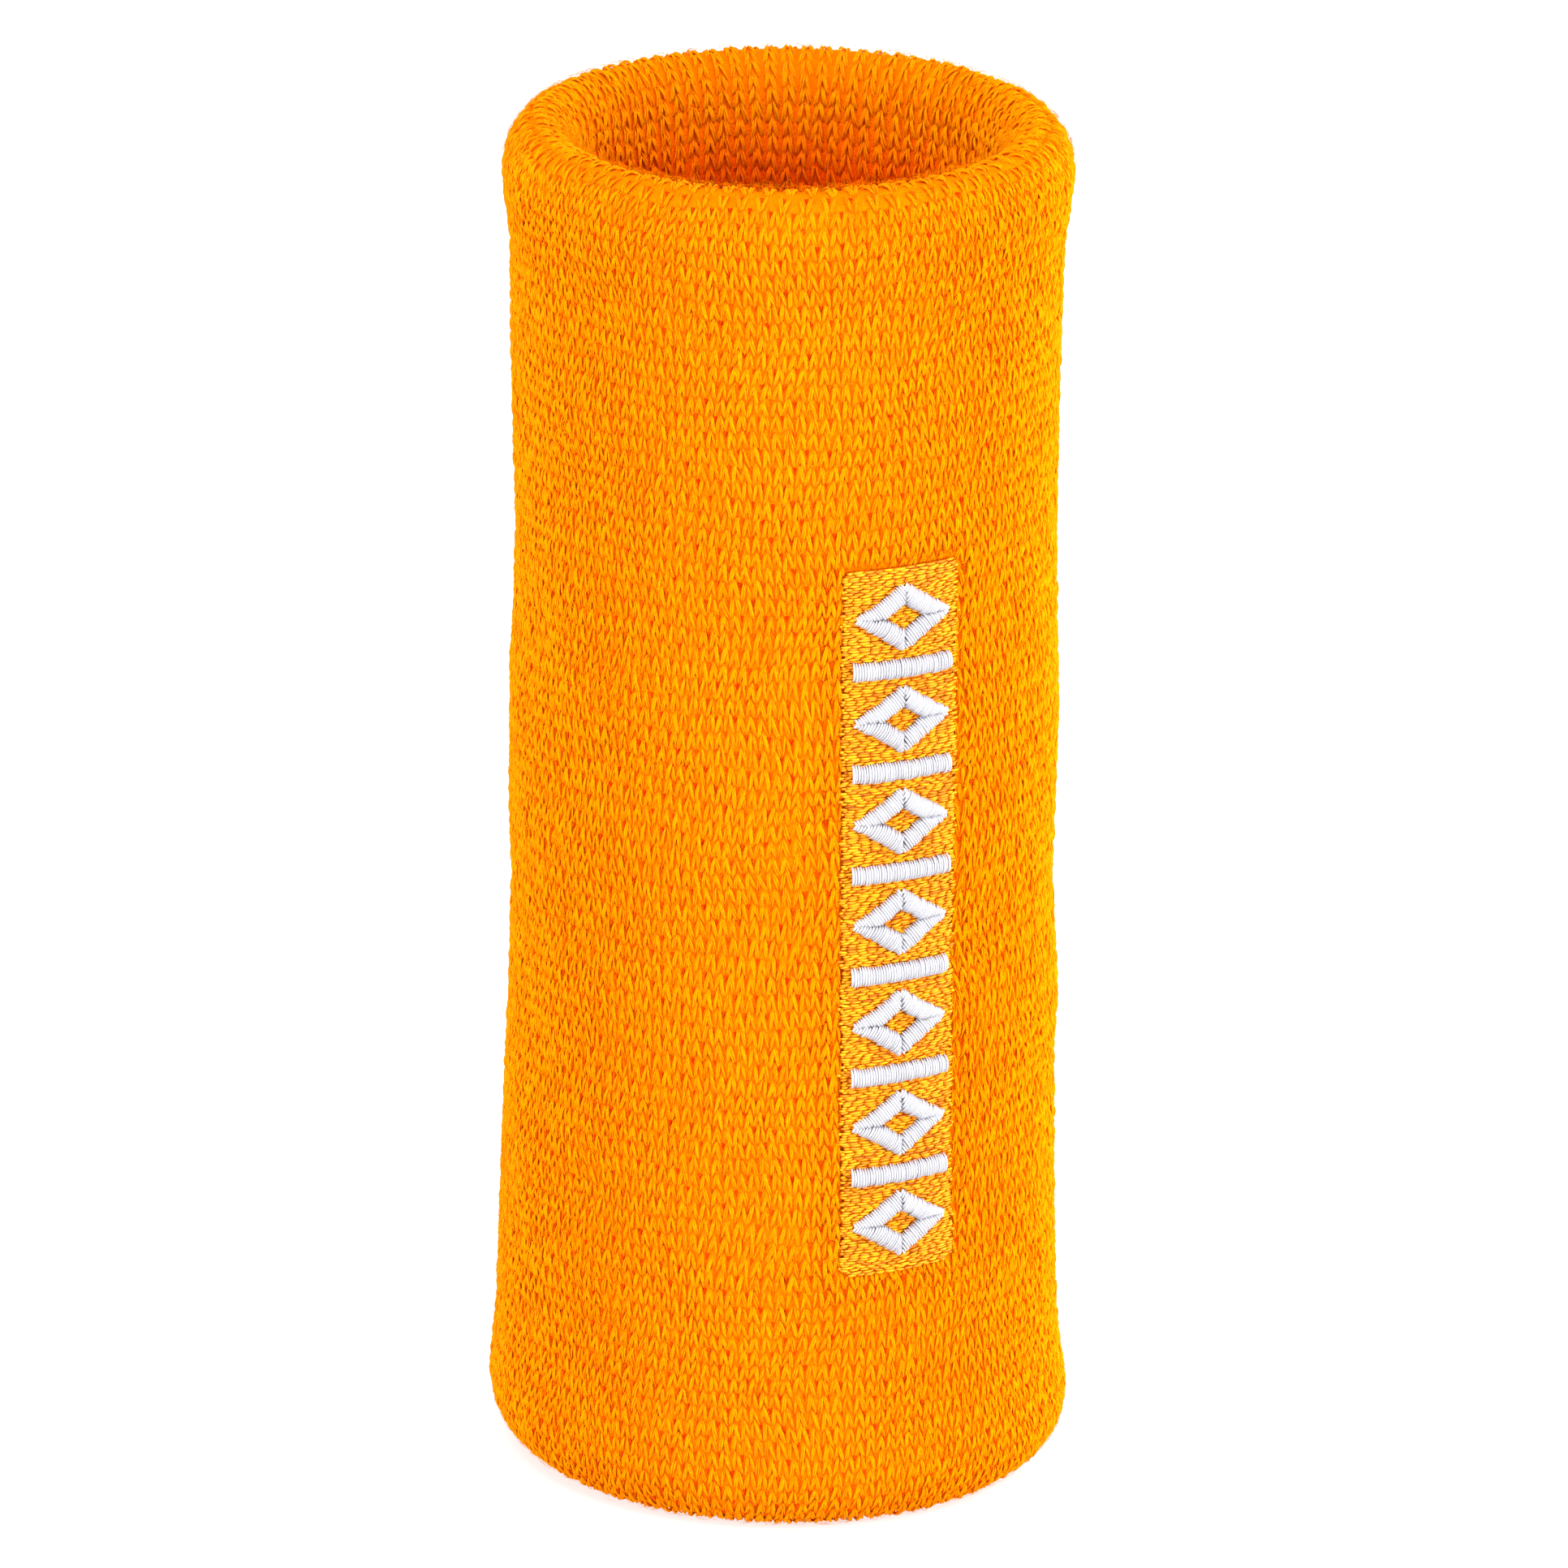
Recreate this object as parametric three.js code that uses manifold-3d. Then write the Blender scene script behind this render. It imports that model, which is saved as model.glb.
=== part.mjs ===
// Long sweat wristband: one knitted tube, folded in at both ends and joined to itself by a ring seam
// on the inside, with terry loops and an elastic yarn inside the wall and an embroidered panel on the
// front. Millimetres, +Z up. The origin is the centre of the ring that the band stands on, the band's
// axis is Z, and the embroidery faces -Y.
import * as THREE from "three";
import { mergeVertices } from "three/addons/utils/BufferGeometryUtils.js";
import Module from "manifold-3d";

const wasm = await Module();
wasm.setup();

// ---------------------------------------------------------------- driving dimensions
const bandHeight = 150;
const baseRollRadius = 31.4; // outside, at the fullest point of the lower fold
const baseNeckRadius = 30.7; // just above the lower fold
const waistRadius = 29.2; // where the band is slimmest
const waistHeight = 95;
const topNeckRadius = 29.5; // just below the upper fold
const topRollRadius = 30.5; // at the fullest point of the upper fold
const rollDepth = 5.9; // from a rim to the fullest point of its fold
const neckDepth = 13; // from a rim to its neck
const footWidth = 2.4; // the flat ring that the lower fold settles onto

const knitThickness = 1.3; // the ground fabric of each layer
const pileThickness = 1.6; // terry loops on the back of each layer
const pileGap = 0.4; // between the loops of the outer layer and those of the inner one
const elasticWidth = 0.5; // the covered elastic yarn laid in between ground and pile
const elasticPitch = 20; // along the fabric, from one round of the yarn to the next
const clearance = 0.3; // between neighbouring pieces

const seamHeight = 75; // where the tube's two ends meet, on the inside
const seamWidth = 1.8; // the linking thread, along Z

const panelWidth = 13.5; // embroidered panel, along X
const panelHeight = 79.4;
const panelMiddle = 69.4; // its centre above the base
const panelCorner = 1.2;
const fillThickness = 0.5;
const fillDepth = 0.1; // how far the fill's face lies below the knit around it
const backingThickness = 0.3;
const backingMargin = 1.5; // the backing reaches past the panel all round
const bobbinThickness = 0.3;

const motifThickness = 0.5; // raised satin stitching
const motifSideMargin = 1.05; // from the panel's edge to the motifs, along X
const motifEndMargin = 1.9; // the same along Z
const motifGap = 0.975; // between a diamond's tip and the next bar
const diamondCount = 7;
const diamondStroke = 1.9;
const barHeight = 1.9;

const roundSegments = 32; // facets round the axis, shared by every nested layer
const sideSteps = 6; // between the two necks
const foldSteps = 4; // per quarter of a fold
const elasticSides = 4;

// ---------------------------------------------------------------- derived layer depths
// Each depth is measured inwards from the fabric's visible face.
const elasticDepth = knitThickness + clearance + elasticWidth / 2;
const pileDepth = knitThickness + elasticWidth + 2 * clearance;
const pileBackDepth = pileDepth + pileThickness;
const wall = 2 * pileBackDepth + pileGap; // outer layer, pile and inner layer
const fillFloorDepth = fillDepth + fillThickness + clearance;
const motifDepth = fillDepth - clearance - motifThickness; // negative: the motifs stand proud
const innerPileDepth = wall - pileBackDepth; // from the outer face to the inner layer's loops
const bobbinDepth = innerPileDepth - clearance - bobbinThickness;
const backingDepth = bobbinDepth - clearance - backingThickness;
const backingFloorDepth = backingDepth - clearance;
const slitHeight = seamWidth + 2 * clearance;
const motifWidth = panelWidth - 2 * motifSideMargin;
const motifRunHeight = panelHeight - 2 * motifEndMargin;
const spacerHeight = barHeight + 2 * motifGap; // from one diamond's tip to the next one's foot
const diamondHeight = (motifRunHeight - (diamondCount - 1) * spacerHeight) / diamondCount;
const motifPitch = diamondHeight + spacerHeight;
const deepCut = 15; // reach of cutting tools that start outside the band

// ---------------------------------------------------------------- section of the wall
// Where the outside radius is given, from the base up. It is level at each of these and eases between.
const stations = [
  new THREE.Vector2(baseRollRadius, rollDepth),
  new THREE.Vector2(baseNeckRadius, neckDepth),
  new THREE.Vector2(waistRadius, waistHeight),
  new THREE.Vector2(topNeckRadius, bandHeight - neckDepth),
  new THREE.Vector2(topRollRadius, bandHeight - rollDepth),
];

function outerRadius(z) {
  const above = stations.findIndex((station) => station.y >= z);
  const next = above < 0 ? stations.length - 1 : Math.max(above, 1);
  const [from, to] = [stations[next - 1], stations[next]];
  return THREE.MathUtils.lerp(from.x, to.x, THREE.MathUtils.smoothstep(z, from.y, to.y));
}

const evenly = (low, high, steps) =>
  Array.from({ length: steps + 1 }, (_, i) => low + ((high - low) * i) / steps);

// Every layer takes its rings at the same heights, so that nested facets stay parallel.
const levels = [
  rollDepth,
  ...evenly(neckDepth, bandHeight - neckDepth, sideSteps),
  bandHeight - rollDepth,
];
const levelsBetween = (low, high) => [low, ...levels.filter((z) => z > low && z < high), high];

// The outer layer's wall and the inner layer's wall, upwards, inset from the visible face.
const outerWall = (inset, low, high) =>
  levelsBetween(low, high).map((z) => new THREE.Vector2(outerRadius(z) - inset, z));
const innerWall = (inset, low, high) =>
  levelsBetween(low, high).map((z) => new THREE.Vector2(outerRadius(z) - wall + inset, z));

// A fold, from the inner wall over to the outer one at the top, or from the outer wall under to the
// inner one at the bottom. The lower one is flattened over footWidth, where it stands.
function fold(inset, atTop) {
  const z = atTop ? bandHeight - rollDepth : rollDepth;
  const middle = outerRadius(z) - wall / 2;
  const halfWidth = wall / 2 - inset;
  const flatShare = atTop ? 0 : footWidth / wall;
  const depth = (rollDepth - inset) / Math.sqrt(1 - flatShare ** 2);
  const turn = atTop ? -1 : 1;
  const rising = evenly(0, Math.acos(flatShare), foldSteps).map(
    (angle) => [Math.cos(angle) * halfWidth * turn, -Math.sin(angle) * depth * turn],
  );
  const falling = rising.map(([across, along]) => [-across, along]).reverse();
  return [...rising, ...(atTop ? falling.slice(1) : falling)].map(
    ([across, along]) => new THREE.Vector2(middle + across, z + along),
  );
}

// The whole fabric path at one depth: from the slit up the inner wall, over the upper fold, down the
// outer wall, under the lower fold and up the inner wall to the slit again.
function fabricPath(inset) {
  const [low, high] = [rollDepth, bandHeight - rollDepth];
  const [slitLow, slitHigh] = [seamHeight - slitHeight / 2, seamHeight + slitHeight / 2];
  return [
    ...innerWall(inset, slitHigh, high).slice(0, -1),
    ...fold(inset, true).slice(0, -1),
    ...outerWall(inset, low, high).reverse().slice(0, -1),
    ...fold(inset, false).slice(0, -1),
    ...innerWall(inset, low, slitLow),
  ];
}

// ---------------------------------------------------------------- solids
// A closed geometry as a manifold solid.
function solid(geometry) {
  const bare = geometry.clone();
  bare.deleteAttribute("normal");
  bare.deleteAttribute("uv");
  const merged = mergeVertices(bare, 1e-4);
  const made = new wasm.Manifold(
    new wasm.Mesh({
      numProp: 3,
      vertProperties: merged.attributes.position.array,
      triVerts: new Uint32Array(merged.index.array),
    }),
  );
  return made;
}

function geometryOf(manifold) {
  const mesh = manifold.getMesh();
  return new THREE.BufferGeometry()
    .setAttribute("position", new THREE.BufferAttribute(mesh.vertProperties, 3))
    .setIndex(new THREE.BufferAttribute(mesh.triVerts, 1));
}

// A closed section turned round Z. Its points run anticlockwise seen with +Z up and the axis on the left.
function turned(points) {
  const closed = [...points, points[0]];
  return new THREE.LatheGeometry(closed, roundSegments).rotateX(Math.PI / 2);
}

// A flat shape drawn on the front (X across, Z up) as a cutter that reaches back from outside the band.
function frontCutter(shape) {
  const outside = baseRollRadius + deepCut / 3;
  return new THREE.ExtrudeGeometry(shape, { depth: deepCut, bevelEnabled: false, curveSegments: 3 })
    .rotateX(Math.PI / 2)
    .translate(0, deepCut - outside, 0);
}

// A layer of the outer wall between two depths, cut to a shape on the front.
function frontLayer(shape, depth, thickness, low, high) {
  const face = outerWall(depth, low, high);
  const back = outerWall(depth + thickness, low, high).reverse();
  return solid(turned([...face, ...back])).intersect(solid(frontCutter(shape)));
}

function roundedPanel(margin) {
  const halfWidth = panelWidth / 2 + margin;
  const low = panelMiddle - panelHeight / 2 - margin;
  const high = panelMiddle + panelHeight / 2 + margin;
  const corner = panelCorner + margin;
  const shape = new THREE.Shape();
  shape.absarc(halfWidth - corner, low + corner, corner, -Math.PI / 2, 0);
  shape.absarc(halfWidth - corner, high - corner, corner, 0, Math.PI / 2);
  shape.absarc(corner - halfWidth, high - corner, corner, Math.PI / 2, Math.PI);
  shape.absarc(corner - halfWidth, low + corner, corner, Math.PI, 1.5 * Math.PI);
  return shape;
}

const panelLayer = (margin, depth, thickness) =>
  frontLayer(
    roundedPanel(margin),
    depth,
    thickness,
    panelMiddle - panelHeight / 2 - 2 * backingMargin,
    panelMiddle + panelHeight / 2 + 2 * backingMargin,
  );

// A fabric layer with its slit at the seam, less a pocket.
function fabricLayer(depth, thickness, pocket) {
  const section = [...fabricPath(depth + thickness), ...fabricPath(depth).reverse()];
  return geometryOf(solid(turned(section)).subtract(pocket));
}

// ---------------------------------------------------------------- pieces
function makeKnitTube() {
  // The pocket starts clear of the face, so that nothing of the knit is left over the fill.
  const pocket = panelLayer(clearance, -1, fillFloorDepth + 1);
  return fabricLayer(0, knitThickness, pocket);
}

function makeTerryPile() {
  const pocket = panelLayer(
    backingMargin + clearance,
    backingFloorDepth,
    innerPileDepth - backingFloorDepth - clearance / 2,
  );
  return fabricLayer(pileDepth, pileThickness, pocket);
}

// The laid-in elastic: a spiral that follows the fabric path round both folds.
class ElasticPath extends THREE.Curve {
  constructor() {
    super();
    const path = fabricPath(elasticDepth);
    this.lengths = [0];
    for (let i = 1; i < path.length; i++)
      this.lengths.push(this.lengths[i - 1] + path[i].distanceTo(path[i - 1]));
    this.path = path;
    this.rounds = this.lengths.at(-1) / elasticPitch;
  }
  getPoint(t, target = new THREE.Vector3()) {
    const along = t * this.lengths.at(-1);
    const next = Math.max(1, this.lengths.findIndex((l) => l >= along - 1e-9));
    const share = (along - this.lengths[next - 1]) / (this.lengths[next] - this.lengths[next - 1]);
    const at = this.path[next - 1].clone().lerp(this.path[next], share);
    const angle = 2 * Math.PI * this.rounds * t;
    return target.set(at.x * Math.sin(angle), -at.x * Math.cos(angle), at.y);
  }
}

function makeElasticYarn() {
  const path = new ElasticPath();
  path.arcLengthDivisions = 4000;
  const corners = evenly(0, 2 * Math.PI, elasticSides)
    .slice(0, -1)
    .map((a) => new THREE.Vector2(Math.cos(a), Math.sin(a)).multiplyScalar(elasticWidth / 2));
  return new THREE.ExtrudeGeometry(new THREE.Shape(corners), {
    steps: Math.round(path.rounds * roundSegments),
    extrudePath: path,
    bevelEnabled: false,
  });
}

// The linking thread that closes the tube: a ring between the two ends, as thick as the knit.
function makeClosingSeam() {
  const [low, high] = [seamHeight - seamWidth / 2, seamHeight + seamWidth / 2];
  const bevel = knitThickness / 4;
  const [face, back] = [outerRadius(seamHeight) - wall, outerRadius(seamHeight) - wall + knitThickness];
  return turned([
    new THREE.Vector2(back, low + bevel),
    new THREE.Vector2(back, high - bevel),
    new THREE.Vector2(back - bevel, high),
    new THREE.Vector2(face + bevel, high),
    new THREE.Vector2(face, high - bevel),
    new THREE.Vector2(face, low + bevel),
    new THREE.Vector2(face + bevel, low),
    new THREE.Vector2(back - bevel, low),
  ]);
}

// A hollow diamond whose sides are one stroke wide.
function diamondShape(middle) {
  const [halfWidth, halfHeight] = [motifWidth / 2, diamondHeight / 2];
  const slant = Math.hypot(halfWidth, halfHeight);
  const hole = 1 - (diamondStroke * slant) / (halfWidth * halfHeight);
  const corners = (share) => [
    new THREE.Vector2(share * halfWidth, middle),
    new THREE.Vector2(0, middle + share * halfHeight),
    new THREE.Vector2(-share * halfWidth, middle),
    new THREE.Vector2(0, middle - share * halfHeight),
  ];
  const shape = new THREE.Shape(corners(1));
  shape.holes.push(new THREE.Path(corners(hole).reverse()));
  return shape;
}

function barShape(middle) {
  const [x, z] = [motifWidth / 2, barHeight / 2];
  return new THREE.Shape([
    new THREE.Vector2(-x, middle - z),
    new THREE.Vector2(x, middle - z),
    new THREE.Vector2(x, middle + z),
    new THREE.Vector2(-x, middle + z),
  ]);
}

const makeMotif = (shape, middle) =>
  geometryOf(
    frontLayer(shape, motifDepth, motifThickness, middle - diamondHeight, middle + diamondHeight),
  );

// ---------------------------------------------------------------- materials and assembly
const finish = (color, roughness) =>
  new THREE.MeshStandardMaterial({ color, roughness, metalness: 0 });
const orangeYarn = finish(0xff9c02, 0.95);
const goldThread = finish(0xf2a010, 0.45);
const whiteThread = finish(0xf6f6fa, 0.5);
const elasticCover = finish(0xf0e6d8, 0.8);
const backingFelt = finish(0xe9e9e6, 0.95);

const band = new THREE.Group();
function add(name, geometry, material) {
  const mesh = new THREE.Mesh(geometry, material);
  mesh.name = name;
  band.add(mesh);
}

add("knit_tube", makeKnitTube(), orangeYarn);
add("terry_pile", makeTerryPile(), orangeYarn);
add("elastic_yarn", makeElasticYarn(), elasticCover);
add("closing_seam", makeClosingSeam(), orangeYarn);
add("fill_stitching", geometryOf(panelLayer(0, fillDepth, fillThickness)), goldThread);
add(
  "embroidery_backing",
  geometryOf(panelLayer(backingMargin, backingDepth, backingThickness)),
  backingFelt,
);
add("bobbin_thread", geometryOf(panelLayer(0, bobbinDepth, bobbinThickness)), whiteThread);

const lowestMotif = panelMiddle - motifRunHeight / 2 + diamondHeight / 2;
for (let i = 0; i < diamondCount; i++) {
  const middle = lowestMotif + i * motifPitch;
  add(`satin_diamond_${i + 1}`, makeMotif(diamondShape(middle), middle), whiteThread);
  if (i === diamondCount - 1) continue;
  const between = middle + motifPitch / 2;
  add(`satin_bar_${i + 1}`, makeMotif(barShape(between), between), whiteThread);
}

export default band;
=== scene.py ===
"""Looks of the sweat wristband: its knit, stitch by stitch, its embroidery, the studio and the camera.

Lengths are in millimetres up to the point where a mesh is written, in metres. A place on the fabric
is (angle, s, h): the angle round the band from the embroidered front (-Y) towards +X, the way s along
the fabric from the seam up the inside, over the upper fold, down the outside and back up to the seam,
and the height h above the visible face.
"""

import math

import bpy
import numpy as np
from mathutils import Matrix, Vector


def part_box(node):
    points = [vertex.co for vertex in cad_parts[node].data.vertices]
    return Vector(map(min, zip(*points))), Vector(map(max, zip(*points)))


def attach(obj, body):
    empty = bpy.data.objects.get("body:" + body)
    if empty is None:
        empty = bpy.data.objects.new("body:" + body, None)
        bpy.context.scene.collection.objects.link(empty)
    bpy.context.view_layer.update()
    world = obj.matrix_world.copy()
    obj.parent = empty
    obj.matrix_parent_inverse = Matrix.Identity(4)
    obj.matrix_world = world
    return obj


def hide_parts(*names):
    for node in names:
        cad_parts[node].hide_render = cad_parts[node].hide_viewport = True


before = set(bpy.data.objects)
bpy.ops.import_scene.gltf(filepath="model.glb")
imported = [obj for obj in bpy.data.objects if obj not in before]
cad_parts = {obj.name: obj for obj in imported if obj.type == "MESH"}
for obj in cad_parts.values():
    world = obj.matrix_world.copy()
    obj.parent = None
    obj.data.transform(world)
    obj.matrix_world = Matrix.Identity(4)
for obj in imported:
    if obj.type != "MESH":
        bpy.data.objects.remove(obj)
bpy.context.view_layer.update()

MM = 0.001
TURN = 2 * math.pi


# ---------------------------------------------------------------- the section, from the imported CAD
def node_points(name):
    """A CAD node's vertices in mm."""
    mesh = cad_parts[name].data
    co = np.empty(len(mesh.vertices) * 3)
    mesh.vertices.foreach_get("co", co)
    return co.reshape(-1, 3) / MM


def read_side():
    """Heights and outside radii of the knit tube's full rings, its wall, and the width it stands on."""
    co = node_points("knit_tube")
    r, z = np.hypot(co[:, 0], co[:, 1]), co[:, 2].round(2)
    rings = []
    for level in np.unique(z):
        at = r[z == level]
        if (at > at.max() - 0.02).sum() >= 32:
            rings.append((level, at.max(), at.min()))
    rings = np.array(rings)
    through = np.ptp(rings[:, 1:], axis=1)
    wall = through.max()
    side = rings[through > wall - 0.02]
    return side[:, 0], side[:, 1], wall, through[0]


side_z, side_r, WALL, FOOT = read_side()
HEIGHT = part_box("knit_tube")[1][2] / MM
ROLL = side_z[0]


def blurred(values, sigma):
    """Smoothed along the first axis, with the ends held."""
    reach = int(3 * sigma) + 1
    weights = np.exp(-0.5 * (np.arange(-reach, reach + 1) / sigma) ** 2)
    weights /= weights.sum()
    padded = np.pad(values, (reach, reach), mode="edge")
    return np.convolve(padded, weights, mode="valid")


fine_z = np.arange(ROLL, HEIGHT - ROLL + 0.1, 0.25)
fine_r = blurred(np.interp(fine_z, side_z, side_r), 6)


def outer_radius(z):
    return np.interp(z, fine_z, fine_r)


def fabric_path():
    """The visible face's radius, height and outward normal, every 0.2 mm along the fabric."""
    middle_z = HEIGHT / 2
    upper = np.arange(middle_z, HEIGHT - ROLL, 0.2)
    lower = np.arange(ROLL, middle_z, 0.2)
    around = np.linspace(0, math.pi, 90)
    depth = ROLL / math.sqrt(1 - (FOOT / WALL) ** 2)
    top_middle = outer_radius(HEIGHT) - WALL / 2
    low_middle = outer_radius(0) - WALL / 2
    down = np.concatenate([lower, upper])[::-1]
    r = np.concatenate(
        [
            outer_radius(upper) - WALL,
            top_middle - WALL / 2 * np.cos(around),
            outer_radius(down),
            low_middle + WALL / 2 * np.cos(around),
            outer_radius(lower) - WALL,
        ]
    )
    z = np.concatenate(
        [
            upper,
            HEIGHT - ROLL + ROLL * np.sin(around),
            down,
            np.maximum(ROLL - depth * np.sin(around), 0),
            lower,
        ]
    )
    along = np.concatenate([[0], np.hypot(np.diff(r), np.diff(z)).cumsum()])
    s = np.arange(0, along[-1], 0.2)
    r, z = np.interp(s, along, r), np.interp(s, along, z)
    tr, tz = blurred(np.gradient(r, s), 3), blurred(np.gradient(z, s), 3)
    size = np.hypot(tr, tz)
    return s, r, z, -tz / size, tr / size


path_s, path_r, path_z, path_nr, path_nz = fabric_path()
LENGTH = path_s[-1]
CREST = path_s[path_z.argmax()]
outer_side = (path_s > CREST) & (path_nr > 0.99)
BOTTOM = path_s[(path_s > CREST) & (path_z < 0.02)].mean()


def s_at(z):
    """The way along the fabric to a height on the outer side."""
    return np.interp(-z, -path_z[outer_side], path_s[outer_side])


# ---------------------------------------------------------------- small unevenness
def waves(seed, count, turns, lengths):
    """A smooth random field over (angle, way) of about -1 to 1, periodic round the band."""
    own = np.random.default_rng(seed)
    k = own.integers(turns[0], turns[1] + 1, count)
    q = TURN / own.uniform(*lengths, count) * own.choice([-1, 1], count)
    phase = own.uniform(0, TURN, count)

    def field(angle, way):
        total = 0
        for i in range(count):
            total = total + np.sin(k[i] * angle + q[i] * way + phase[i])
        return total / math.sqrt(count)

    return field


swell = waves(3, 7, (1, 4), (40, 160))
sway = waves(5, 9, (2, 11), (14, 60))
surge = waves(8, 9, (2, 13), (12, 50))

# Degrees from the embroidered front towards +X.
CAMERA_AZIMUTH = -25.5
# Heights, and how far the outline stands out from round there, left and right of the camera.
LEFT_BULGES = (
    (0, 0.3), (10, 0.3), (50, -0.5), (65, -0.5), (75, 0.1), (90, 0.4), (105, -0.3), (150, -0.3),
)
RIGHT_BULGES = (
    (0, 1), (15, 0.1), (30, -0.3), (45, -0.3), (52, 0.2), (65, -0.4), (85, 0.2), (105, -0.2), (150, 0),
)
SWELL = 0.16
HEM_LIFT = 0.9
HEM_LIFT_HEIGHT = 30


def place(angle, s, h):
    """Points in mm of places on the fabric, with its bulges, slow waves and lifted hem."""
    r = np.interp(s, path_s, path_r) + h * np.interp(s, path_s, path_nr)
    z = np.interp(s, path_s, path_z) + h * np.interp(s, path_s, path_nz)
    rightward = np.sin(angle - math.radians(CAMERA_AZIMUTH))
    right = np.interp(z, *zip(*RIGHT_BULGES)) * rightward.clip(0) ** 2
    left = np.interp(z, *zip(*LEFT_BULGES)) * (-rightward).clip(0) ** 2
    outer = np.interp(s, [CREST - 3, CREST + 3, BOTTOM - 4, BOTTOM + 2], [0, 1, 1, 0])
    r = r + outer * (right + left) + SWELL * swell(angle, z)
    z = z + HEM_LIFT * (0.5 - 0.5 * rightward) ** 1.5 * np.exp(-((z / HEM_LIFT_HEIGHT) ** 2))
    return np.stack([r * np.sin(angle), -r * np.cos(angle), np.maximum(z, 0.0)], -1)


# ---------------------------------------------------------------- strands
def mesh_object(name, points, starts, corners, uv, tone, material):
    """A smooth mesh from points in mm, faces as runs of corners, a map and a tone per vertex."""
    mesh = bpy.data.meshes.new(name)
    mesh.vertices.add(len(points))
    mesh.vertices.foreach_set("co", (points * MM).astype(np.float32).ravel())
    mesh.loops.add(len(corners))
    mesh.loops.foreach_set("vertex_index", corners.astype(np.int32))
    mesh.polygons.add(len(starts))
    mesh.polygons.foreach_set("loop_start", starts.astype(np.int32))
    mesh.update(calc_edges=True)
    mesh.polygons.foreach_set("use_smooth", np.ones(len(starts), bool))
    layer = mesh.uv_layers.new(name="OFBake")
    layer.uv.foreach_set("vector", uv[corners].astype(np.float32).ravel())
    attribute = mesh.attributes.new("tone", "FLOAT", "POINT")
    attribute.data.foreach_set("value", tone.astype(np.float32))
    mesh.materials.append(material)
    piece = bpy.data.objects.new(name, mesh)
    bpy.context.scene.collection.objects.link(piece)
    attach(piece, "root")
    return piece


def strand_points(centre, up, radius, sides, flat=1.0):
    """Rings and two tips round centre lines (n, k, 3), as (n, sides * (k - 2) + 2, 3)."""
    along = np.gradient(centre, axis=1)
    across = np.cross(along, up)
    across /= np.linalg.norm(across, axis=2, keepdims=True)
    normal = np.cross(across, along)
    normal /= np.linalg.norm(normal, axis=2, keepdims=True)
    turn = TURN * np.arange(sides) / sides
    c, a, n = centre[:, 1:-1, None], across[:, 1:-1, None], normal[:, 1:-1, None]
    r = radius[:, 1:-1, None, None]
    rings = c + r * (np.cos(turn)[:, None] * a + flat * np.sin(turn)[:, None] * n)
    rings = rings.reshape(len(centre), -1, 3)
    return np.concatenate([rings, centre[:, :1], centre[:, -1:]], axis=1)


def strand_faces(rings, sides):
    """The corner runs of one strand: quads along it, then triangles to its tips."""
    corners, starts = [], []
    at = 0
    for ring in range(rings - 1):
        for i in range(sides):
            j = (i + 1) % sides
            a, b = ring * sides, (ring + 1) * sides
            corners += [a + i, a + j, b + j, b + i]
            starts.append(at)
            at += 4
    first, last = rings * sides, rings * sides + 1
    for i in range(sides):
        j = (i + 1) % sides
        corners += [first, j, i]
        starts.append(at)
        corners += [last, (rings - 1) * sides + i, (rings - 1) * sides + j]
        starts.append(at + 3)
        at += 6
    return np.array(starts), np.array(corners)


class Bundle:
    """Strands gathered into one piece."""

    def __init__(self, window):
        self.window = window  # lowest and highest (angle, s), which the map spans
        self.points, self.uv, self.tone = [], [], []
        self.starts, self.corners = [], []
        self.n_points = self.n_corners = 0

    def add(self, angle, s, h, radius, tone, sides=5, flat=1.0, where=place):
        """Strands whose centre lines are (n, k) arrays of places, with a radius and a tone at each."""
        if len(angle) == 0:
            return
        centre = where(angle, s, h)
        up = where(angle, s, h + 0.5) - centre
        rings = angle.shape[1] - 2
        points = strand_points(centre, up, radius, sides, flat)
        starts, corners = strand_faces(rings, sides)
        n, per = len(points), points.shape[1]

        def to_vertices(values):
            inner = np.repeat(values[:, 1:-1], sides, axis=1)
            return np.concatenate([inner, values[:, :1], values[:, -1:]], axis=1)

        low, high = np.array(self.window[0]), np.array(self.window[1])
        uv = (np.stack([to_vertices(angle), to_vertices(s)], -1) - low) / (high - low)
        self.points.append(points.reshape(-1, 3))
        self.uv.append(uv.reshape(-1, 2).clip(0.001, 0.999))
        self.tone.append(to_vertices(tone).ravel())
        offset = self.n_points + per * np.arange(n)[:, None]
        self.corners.append((corners[None] + offset).ravel())
        corner_offset = self.n_corners + len(corners) * np.arange(n)[:, None]
        self.starts.append((starts[None] + corner_offset).ravel())
        self.n_points += n * per
        self.n_corners += n * len(corners)

    def piece(self, name, material, slot, *nodes):
        made = mesh_object(
            name,
            np.concatenate(self.points),
            np.concatenate(self.starts),
            np.concatenate(self.corners),
            np.concatenate(self.uv),
            np.concatenate(self.tone),
            material,
        )
        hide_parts(*nodes)


# ---------------------------------------------------------------- materials
def node_material(name, roughness, sheen=0.0, sheen_tint=(1, 1, 1), specular=0.5):
    material = bpy.data.materials.new(name)
    material.use_nodes = True
    tree = material.node_tree
    shader = tree.nodes["Principled BSDF"]
    shader.inputs["Roughness"].default_value = roughness
    shader.inputs["Specular IOR Level"].default_value = specular
    shader.inputs["Sheen Weight"].default_value = sheen
    shader.inputs["Sheen Roughness"].default_value = 0.3
    shader.inputs["Sheen Tint"].default_value = (*sheen_tint, 1)
    return material, tree, shader


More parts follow.
